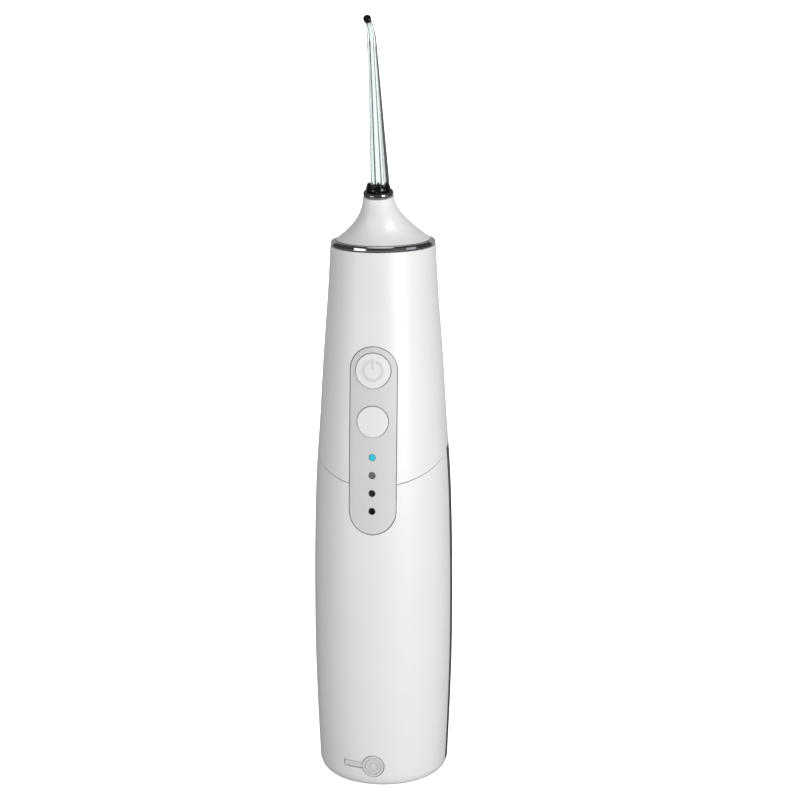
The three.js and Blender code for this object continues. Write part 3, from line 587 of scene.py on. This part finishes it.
def neck_ring(share, inset):
    ease = share * share * (3 - 2 * share)
    base = SEAT_Z + RING_HEIGHT + SEAM_GAP
    lean = math.atan(SEAT_SLOPE) + (HEAD_LEAN - math.atan(SEAT_SLOPE)) * share
    radius = NECK_TOP + (NECK_BASE - NECK_TOP) * (1 - share) ** NECK_FLARE - inset
    centre = Vector((0, -HEAD_FORWARD * ease, base + (HEAD_Z - base) * share))
    return {"radius": radius, "centre": centre, "lean": lean}


climb = [0, 0.012] + [i / 22 for i in range(1, 22)] + [0.985, 1]
outside = [neck_ring(s, 0.18 if s in (0, 1) else 0) for s in climb]
inside = [neck_ring(s, 2 - 0.8 * s) for s in climb][::-1]
neck = loft("neck_shell", outside + inside)
smooth(neck)
dress(neck, "abs_satin_white", "handle", "white_shell", "neck_cover")

# %% [markdown]
# The bright band below the neck is plated, and its shoulder is chamfered. Drawn as one closed
# profile it keeps each small face, and it is those that catch the light.

# %% Trim ring
RING_PROFILE = [
    (16, 0), (18.9, 0), (19.08, 0.05), (19.15, 0.2), (19.15, 1.0), (19.0, 1.2), (18.3, 1.5),
    (18.0, RING_HEIGHT), (16, RING_HEIGHT)]
tilt = math.atan(SEAT_SLOPE)
ring_axis = Matrix.Rotation(tilt, 3, "X") @ Vector((0, 0, 1))
trim = loft("trim_band", [
    {"radius": r, "centre": Vector((0, 0, SEAT_Z)) + ring_axis * h, "lean": tilt} for r, h in RING_PROFILE], 144)
smooth(trim, 25)
dress(trim, "chrome_plated_abs", "handle", "chrome_trim", "trim_ring")

# %% [markdown]
# ## Control panel
# The inlay is a soft grey slot that crosses the seam. It is a slice of the handle's skin, sunk a
# fifth of a millimetre, with round holes for two keys and four lights.

# %% Panel inlay
POWER_Z, POWER_RADIUS, MODE_Z, MODE_RADIUS = 157.8, 6.3, 139.4, 5.6
LED_TOP, LED_PITCH, LED_RADIUS = 126.5, 6.56, 1.15
KEY_PLAY, LED_PLAY = 0.25, 0.15
THROUGH_FRONT = (-40, 0)
led_heights = [LED_TOP - LED_PITCH * i for i in range(4)]
panel = slice_of_skin("panel_inlay", slot_bar(PANEL_HALF, PANEL_BOTTOM, PANEL_TOP), 94, 171, -0.2, -2.6)
round_edges(panel, 0.2)
carve(
    panel, rod(POWER_RADIUS + KEY_PLAY, THROUGH_FRONT, (0, POWER_Z)),
    rod(MODE_RADIUS + KEY_PLAY, THROUGH_FRONT, (0, MODE_Z)),
    *[rod(LED_RADIUS + LED_PLAY, THROUGH_FRONT, (0, z), sides=32) for z in led_heights])
smooth(panel)
dress(panel, "polycarbonate_matt_grey_inlay", "handle", "grey_panel", "control_panel")

# %% [markdown]
# ## Keys and lights
# Each key is a cap that follows the handle and a stem behind it that reaches its switch. The cap is
# a slice of skin too, so that its face lies level with the panel all round.

# %% Keys
KEY_PROUD, KEY_BACK, STEM_RADIUS, STEM_END = 0.3, -1.6, 2, -20


def key(name, z, radius, body, node_name):
    round_bar = rod(radius, THROUGH_FRONT, (0, z), sides=96)
    piece = slice_of_skin(name, round_bar, z - 12, z + 12, KEY_PROUD, KEY_BACK)
    round_edges(piece, 0.35, 3)
    carve(piece, rod(STEM_RADIUS, (1.2 - body_radius(z), STEM_END), (0, z), sides=32), operation="UNION")
    smooth(piece)
    return dress(piece, "abs_pale_key", body, "silver_cap", node_name)


key("power_key_cap", POWER_Z, POWER_RADIUS, "power_key", "power_button")
key("mode_key_cap", MODE_Z, MODE_RADIUS, "mode_key", "mode_button")

# %% [markdown]
# The power key carries the usual sign, a broken ring and a bar, as a raised line. It could be
# printed, but a line with its own height also catches the light at a slant.

# %% Power sign
SIGN_RADIUS, SIGN_LINE, SIGN_GAP = 3.45, 1.0, 1.05


def sign_slice(name, bar):
    piece = slice_of_skin(name, bar, POWER_Z - 8, POWER_Z + 8, 0.42, 0.1)
    round_edges(piece, 0.08, 2)
    smooth(piece)
    return dress(piece, "abs_key_sign", "power_key", "silver_cap")


broken_ring = rod(SIGN_RADIUS + SIGN_LINE / 2, THROUGH_FRONT, (0, POWER_Z), sides=96)
carve(
    broken_ring, rod(SIGN_RADIUS - SIGN_LINE / 2, (-41, 1), (0, POWER_Z), sides=96),
    block((-SIGN_GAP, SIGN_GAP), (-41, 1), (POWER_Z, POWER_Z + 8)))
sign_slice("power_sign_ring", broken_ring)
sign_slice("power_sign_bar", block(
    (-SIGN_LINE / 2, SIGN_LINE / 2), THROUGH_FRONT, (POWER_Z + 0.5, POWER_Z + 4.3)))

# %% [markdown]
# The lights are the ends of four light pipes that run back to the board. Each is a rod whose front
# edge is rounded so far that it reads as a small dome.

# %% Status lights
PIPE_END = -17.9
LIGHTS = ["light_pipe_cyan_lit", "light_pipe_dim", "light_pipe_dark", "light_pipe_off"]
for i, (z, look) in enumerate(zip(led_heights, LIGHTS)):
    face = -body_radius(z)
    lens = rod(LED_RADIUS, (face + 0.05, PIPE_END), (0, z), sides=40)
    round_edges(lens, 0.3, 4)
    smooth(lens, 50)
    lens.name = lens.data.name = f"status_light_{i + 1}"
    dress(lens, look, "handle", "lit_lens" if i == 0 else "dark_lens", f"led_lens_{i + 1}")

# %% [markdown]
# ## Charging plug
# A soft plug covers the charging port and hangs on a strap let into the surface. Its disc has a
# raised rim and raised rings round a small button. Behind it a hollow stem grips the jack.
# The rings are slices of skin a little further out, joined on, because they follow the handle too.

# %% Charging plug
RAISED_RINGS = [(4.0, 3.3, 0.22), (2.6, 2.0, 0.22), (1.1, 0, 0.15)]  # outer and inner radius, lift
face_y = -(body_radius(PLUG_Z) - 0.6)
plug = slice_of_skin("plug_with_strap", plug_outline(0), 2.5, 15.5, -0.3, -1.2)
knuckle = rod(0.6, (PLUG_Z - STRAP_HALF, PLUG_Z + STRAP_HALF), strap_root, "Z", 24)
carve(plug, knuckle, operation="UNION")
round_edges(plug, 0.15, 2)
for outer_radius, inner_radius, lift in RAISED_RINGS:
    band = rod(outer_radius, (-40, -16), (0, PLUG_Z), sides=96)
    if inner_radius:
        carve(band, rod(inner_radius, (-41, -15), (0, PLUG_Z), sides=96))
    raised = slice_of_skin("raised", band, 2.5, 15.5, lift, -0.6)
    round_edges(raised, 0.1, 2)
    carve(plug, raised, operation="UNION")
stem = rod(2.4, (face_y, -20.8), (0, PLUG_Z), sides=48)
carve(stem, rod(1.2, (-22.4, -20), (0, PLUG_Z), sides=32))
carve(plug, stem, operation="UNION")
smooth(plug)
dress(plug, "silicone_grey_plug", "plug", "grey_rubber", "charge_plug")

# %% [markdown]
# ## Water tank
# The tank fills the back of the lower half. It is two turned forms, a lower cup and an upper half
# whose rim slants up to the seam. One plane cuts each to the back D, and it is then given its wall.
# The upper half has a sunk seat and a hole for the flap, and the port that slides on to the spigot.

# %% Tank cup and upper half
FLAP_BOTTOM, FLAP_TOP, FLAP_HALF, HINGE_Z = 91, 115, 10, 91.2
HOLE_BOTTOM, HOLE_TOP, HOLE_HALF = 94.5, 112, 7.4
hinge_y = body_radius(HINGE_Z) - 1.2


def tank_half(piece, closed_end, open_end):
    """Cuts a turned form to a D, opens it at the tank's joint and gives it its wall."""
    cap(piece, *closed_end)
    cap(piece, open_end)
    bisect(piece, (0, SPLIT_Y + GAP, 0), (0, -1, 0))
    uncap(piece, open_end)
    wall(piece, TANK_WALL)
    return round_edges(piece, 0.2)


cup = tank_half(turned("tank_lower_cup", standing_form(TANK_SPLIT_Z - GAP / 2)), (0, 0), TANK_SPLIT_Z - GAP / 2)
carve(
    cup, rod(10.4, (-1, 2.6), (0, 0), "Z", 96), block((-10.4, 10.4), (-20, 0), (-1, 2.6)))
smooth(cup)
dress(cup, "polycarbonate_smoked", "tank", "smoked_tank", "tank_cup")


def back_bar(half, low, high):
    return block((-half, half), (8, 40), (low, high))


joint_z, tank_top_z = TANK_SPLIT_Z + GAP / 2, SEAM_Z - SEAM_GAP
tank_top = turned("tank_upper_shell", form(joint_z, tank_top_z))
slant(tank_top, joint_z, tank_top_z, 0, tank_top_z, SEAM_SLOPE)
tank_half(tank_top, (tank_top_z, SEAM_SLOPE), joint_z)
seat = slice_of_skin(
    "seat", back_bar(FLAP_HALF + 2, FLAP_BOTTOM - 2, FLAP_TOP + 2), FLAP_BOTTOM - 4, FLAP_TOP + 4, -1.5, -3.4)
opening = slice_of_skin(
    "opening", back_bar(FLAP_HALF + 0.4, FLAP_BOTTOM - 0.4, FLAP_TOP + 0.4), 80, 126, 3, -TANK_WALL + 0.05)
carve(tank_top, seat, operation="UNION")
carve(tank_top, opening)
for x in ((2.5, 4.7), (-4.7, -2.5)):
    carve(tank_top, rod(1.2, x, (hinge_y, HINGE_Z), "X", 24), operation="UNION")
carve(
    tank_top, back_bar(HOLE_HALF, HOLE_BOTTOM, HOLE_TOP), rod(1.6, (-2.5, 2.5), (hinge_y, HINGE_Z), "X", 24),
    rod(0.75, (-6, 6), (hinge_y, HINGE_Z), "X", 20), rod(2.5, (-4, 0), (0, SPIGOT_Z)),
    rod(3.6, (-4, -1.8), (0, SPIGOT_Z)))
smooth(tank_top)
dress(tank_top, "polycarbonate_smoked", "tank", "smoked_tank", "tank_upper_half")

# %% [markdown]
# The filler flap closes the hole in the tank's back. It is a slice of skin with a plug rim inside,
# a hinge knuckle at its lower edge and a small thumb ridge at its top.

# %% Filler flap
flap = slice_of_skin(
    "filler_flap_cover", back_bar(FLAP_HALF, FLAP_BOTTOM + 1.8, FLAP_TOP), FLAP_BOTTOM - 3, FLAP_TOP + 3, 0, -1.2)
round_edges(flap, 0.25)
rim = back_bar(HOLE_HALF - 0.5, HOLE_BOTTOM + 0.5, HOLE_TOP - 0.9)
carve(rim, back_bar(HOLE_HALF - 2, HOLE_BOTTOM + 2, HOLE_TOP - 2.4))
rim = slice_of_skin("rim", rim, FLAP_BOTTOM - 3, FLAP_TOP + 3, -0.6, -3.2)
ridge = slice_of_skin("ridge", back_bar(4.5, FLAP_TOP - 3.4, FLAP_TOP - 2.2), FLAP_BOTTOM, FLAP_TOP, 0.35, -0.6)
round_edges(ridge, 0.15)
knuckle = rod(1.2, (-2.2, 2.2), (hinge_y, HINGE_Z), "X", 24)
tab = block((-2.2, 2.2), (hinge_y, hinge_y + 1.1), (HINGE_Z, FLAP_BOTTOM + 2.4))
carve(flap, rim, ridge, knuckle, tab, operation="UNION")
carve(flap, rod(0.75, (-6, 6), (hinge_y, HINGE_Z), "X", 20))
smooth(flap)
dress(flap, "polycarbonate_smoked", "flap", "smoked_tank", "filler_flap")

# %% [markdown]
# ## Head: collar, dark ring, nozzle and cap
# These pieces sit on the leaning jet axis, and all are lofts along it, so one pair of functions says
# where a ring on it lies. The bright collar turns with the nozzle, and the dark ring grips its foot.

# %% Rings on the jet axis
head = Matrix.Translation((0, -HEAD_FORWARD, HEAD_Z)) @ Matrix.Rotation(HEAD_LEAN, 4, "X")
HEX_TURN = math.radians(15)
BEND_START, BEND_RADIUS, BEND_ANGLE, TIP_LENGTH = 56.4, 4.0, math.radians(47), 6.4
TIP_END = BEND_ANGLE * BEND_RADIUS + TIP_LENGTH


def head_ring(radius, along, flats=0.0):
    return {"radius": radius, "centre": head @ Vector((0, 0, along)), "lean": HEAD_LEAN,
            "flats": flats, "turn": HEX_TURN}


def bend_ring(past, radius, flats=0.0):
    """A ring past the start of the bend, square to the jet axis there."""
    angle = min(BEND_ANGLE, max(0.0, past / BEND_RADIUS))
    straight = max(0.0, past - BEND_ANGLE * BEND_RADIUS)
    y = -BEND_RADIUS * (1 - math.cos(angle)) - straight * math.sin(angle)
    z = BEND_START + min(past, 0) + BEND_RADIUS * math.sin(angle) + straight * math.cos(angle)
    return {"radius": radius, "centre": head @ Vector((0, y, z)), "lean": HEAD_LEAN + angle,
            "flats": flats, "turn": HEX_TURN}


# %% Swivel collar and dark ring
COLLAR_PROFILE = [
    (3.4, 0.3), (5.0, 0.3), (5.3, 0.42), (5.48, 0.7), (5.52, 1.1), (5.45, 1.5), (5.2, 1.85), (4.8, 2.08), (3.4, 2.1)]
collar = loft("swivel_bead", [head_ring(r, h) for r, h in COLLAR_PROFILE])
smooth(collar, 40)
dress(collar, "chrome_plated_abs", "swivel", "chrome_trim", "swivel_collar")

RING_STEPS = [(3.05, 2.4), (4.3, 2.4), (4.42, 2.52), (4.42, 3.2), (4.3, 3.45), (3.75, 4.45), (3.6, 4.55), (3.05, 4.55)]
dark_ring = loft("nozzle_dark_ring", [head_ring(r, h) for r, h in RING_STEPS])
hexagon = new_piece("hexagon")
bpy.ops.mesh.primitive_cylinder_add(
    vertices=6, radius=4.4 * MM, depth=6 * MM, location=head @ Vector((0, 0, 5.75)) * MM,
    rotation=(head.to_3x3() @ Matrix.Rotation(HEX_TURN - math.pi / 6, 3, "Z")).to_euler())
bpy.ops.object.mode_set(mode="OBJECT")
carve(dark_ring, hexagon)
smooth(dark_ring, 30)
dress(dark_ring, "abs_gloss_black", "jet", "black_plastic", "nozzle_ring")

# %% [markdown]
# The nozzle is one loft: a round stem, then six flats that taper to the bend, and a round tip. The
# bore runs back down inside, so that the wall is real and light bends in it as in moulded acrylic.
# The six corners are rounded last, since a sharp one would show no dark line along it.


# %% Nozzle
def straight(along, radius, flats=0.0):
    return bend_ring(along - BEND_START, radius, flats)


STEM = [(-12, 2.7), (-11.8, 2.9), (-7.1, 2.9), (-7, 2.15), (-5.4, 2.15), (-5.3, 2.9), (3.0, 2.9)]
FLATS = [(3.05, 4.1), (3.2, 4.2), (12, 3.8), (21, 3.35), (30, 2.93), (39, 2.5), (47, 2.12), (52, 1.88)]
BEND = [(-1, 1.66), (0, 1.58), (0.7, 1.5), (1.4, 1.43), (2.1, 1.37), (2.8, 1.33), (3.28, 1.3)]
outside = [straight(z, r) for z, r in STEM] + [straight(z, r, 1.0) for z, r in FLATS]
outside += [bend_ring(p, r) for p, r in BEND + [(TIP_END - 0.1, 1.3), (TIP_END, 1.22)]]
bore = [bend_ring(p, r) for p, r in ((TIP_END, 0.45), (3.28, 0.5), (2.1, 0.53), (1, 0.56), (0, 0.62))]
bore += [straight(z, r) for z, r in ((52, 0.75), (39, 0.95), (21, 1.25), (3, 1.5), (-12, 1.6))]
nozzle = loft("clear_nozzle", outside + bore, 48)
round_edges(nozzle, 0.34, 4, 50)
smooth(nozzle, 28)
dress(nozzle, "acrylic_clear_polished", "jet", "clear_nozzle", "nozzle")

# %% [markdown]
# A small dark cap closes the tip round the jet hole. It follows the bent axis, and its mouth turns in.

# %% Orifice cap
CAP_STEPS = [(0.1, 1.32), (0.7, 1.38), (1.05, 1.3), (1.25, 1.05), (1.3, 0.8), (1.2, 0.55), (1.15, 0.4), (0.1, 0.4)]
jet_cap = loft("orifice_tip", [bend_ring(TIP_END + a, r) for a, r in CAP_STEPS], 48)
smooth(jet_cap, 45)
dress(jet_cap, "abs_gloss_black", "jet", "black_plastic", "orifice_cap")

# %% [markdown]
# ## Inner pieces
# The battery, motor, gears, pump, hoses and seals keep their model shapes, which are right as they
# are. Each gets the finish of its real material by the slot that the record gives it.

# %% Finishes for the carried-over pieces
SLOT_FINISH = {
    "white_shell": "abs_satin_white", "grey_panel": "polycarbonate_matt_grey_inlay", "silver_cap": "abs_pale_key",
    "chrome_trim": "chrome_plated_abs", "smoked_tank": "polycarbonate_smoked", "clear_nozzle": "acrylic_clear_polished",
    "black_plastic": "abs_gloss_black", "grey_rubber": "silicone_grey_plug", "seal_rubber": "nitrile_rubber_black",
    "lit_lens": "light_pipe_cyan_lit", "dark_lens": "light_pipe_off", "steel": "nickel_plated_steel",
    "board_laminate": "epoxy_glass_board", "inner_plastic": "acetal_natural", "cell_wrap": "pvc_cell_wrap_blue",
    "silicone_hose": "silicone_hose_milky", "lead_insulation": "pvc_lead_red"}
slot_of = {part["node"]: part["material_slot"] for part in frame["record"]["subparts"]}
for name, piece in frame["nodes"].items():
    look = finish[SLOT_FINISH[slot_of[name]]]
    for material_slot in piece.material_slots:
        material_slot.material = look
    if not piece.material_slots:
        piece.data.materials.append(look)
print(len(frame["nodes"]), "model nodes finished")

# %% [markdown]
# ## Studio
# A pale floor and a white surround. Rays that the camera sends out meet white, those that a clear piece sends
# out meet a dark surround, and the surround that lights the flosser is dimmer, so one tall softbox at the front
# right can model the round handle. A backdrop behind gives the clear nozzle something pale to bend.


# %% Rays that meet another tone
def by_ray(tree, plain, **levels):
    """A number that differs for the kinds of ray named, and is plain for the others."""
    path = node(tree, "ShaderNodeLightPath")
    output = node(tree, "ShaderNodeValue").outputs[0]
    output.default_value = plain
    for ray, level in levels.items():
        output = node(tree, "ShaderNodeMix", {"B": level}, {
            "Factor": path.outputs[f"Is {ray} Ray"], "A": output}).outputs["Result"]
    return output


# %% Floor
floor = new_piece("floor")
bpy.ops.mesh.primitive_plane_add(size=8, location=(0, 0, -0.0005))
bpy.ops.object.mode_set(mode="OBJECT")
paper, tree, shader = new_finish("white_paper_sweep")
place = node(tree, "ShaderNodeTexCoord").outputs["Object"]
fibre = node(tree, "ShaderNodeTexNoise", {"Scale": 400.0}, {"Vector": place})
rough = node(tree, "ShaderNodeMapRange", {"To Min": 0.85, "To Max": 1.0}, {"Value": fibre.outputs["Fac"]})
set_shader(
    tree, shader, {"Emission Color": (1, 1, 1, 1), "Specular IOR Level": 0.0},
    {"Base Color": by_ray(tree, 0.9, Glossy=0.08, Transmission=0.2), "Roughness": rough.outputs["Result"],
     "Emission Strength": by_ray(tree, 0.0, Camera=1.0)})
floor.data.materials.append(paper)

# %% Surround
world = bpy.data.worlds.new("surround")
bpy.context.scene.world = world
world.use_nodes = True
tree = world.node_tree
tree.nodes.clear()
background = node(tree, "ShaderNodeBackground", {"Color": (1, 1, 1, 1)}, {
    "Strength": by_ray(tree, 0.57, Glossy=0.06, Transmission=0.05, Camera=1.0)})
node(tree, "ShaderNodeOutputWorld", {}, {"Surface": background.outputs["Background"]})
bpy.context.scene.view_settings.view_transform = "Standard"

# %% Backdrop
BACKDROP_AT, BACKDROP_SIZE = (-0.12, 0.75, 0.3), (1.3, 1, 0.6)
backdrop = new_piece("backdrop")
bpy.ops.mesh.primitive_plane_add(size=1, location=BACKDROP_AT, rotation=(math.pi / 2, 0, 0))
bpy.ops.transform.resize(value=BACKDROP_SIZE, center_override=BACKDROP_AT)
bpy.ops.object.mode_set(mode="OBJECT")
cloth, tree, shader = new_finish("white_cloth_backdrop")
weave = node(tree, "ShaderNodeTexNoise", {"Scale": 300.0}, {"Vector": node(
    tree, "ShaderNodeTexCoord").outputs["Object"]})
rough = node(tree, "ShaderNodeMapRange", {"To Min": 0.9, "To Max": 1.0}, {"Value": weave.outputs["Fac"]})
set_shader(
    tree, shader, {"Emission Color": (1, 1, 1, 1), "Specular IOR Level": 0.0},
    {"Base Color": by_ray(tree, 0.9, Glossy=0.1, Transmission=0.9), "Roughness": rough.outputs["Result"],
     "Emission Strength": by_ray(tree, 0.5, Glossy=0.25, Transmission=0.6, Camera=1.0)})
backdrop.data.materials.append(cloth)


# %% [markdown]
# A tall key at the front right gives the handle its band of light, and a broad fill opens the left
# side without a highlight of its own. Two low accents reach only the plating, as bright blocks in it.

# %% Lights
LIGHTS_AIM = Vector((0, 0, 0.14))


def softbox(name, azimuth, elevation, distance, size, power):
    """An area light that faces the middle of the handle. Azimuth 0 is straight in front."""
    light = bpy.data.objects.new(name, bpy.data.lights.new(name, "AREA"))
    bpy.context.collection.objects.link(light)
    a, e = math.radians(azimuth), math.radians(elevation)
    towards = Vector((math.sin(a) * math.cos(e), -math.cos(a) * math.cos(e), math.sin(e)))
    light.location = LIGHTS_AIM + towards * distance
    light.rotation_euler = towards.to_track_quat("Z", "Y").to_euler()
    light.data.shape, (light.data.size, light.data.size_y) = "RECTANGLE", size
    light.data.energy = power
    return light


softbox("key", 44, 0, 1.3, (0.45, 1.4), 13.2)
fill = softbox("fill", -10, 14, 1.6, (1.0, 1.4), 2.2)
fill.visible_glossy = False
for azimuth, width, power in ((-42, 0.42, 0.5), (74, 0.35, 0.1)):
    accent = softbox("plating_accent", azimuth, -3, 0.8, (width, 0.18), power)
    accent.visible_diffuse = False
print("lights set")
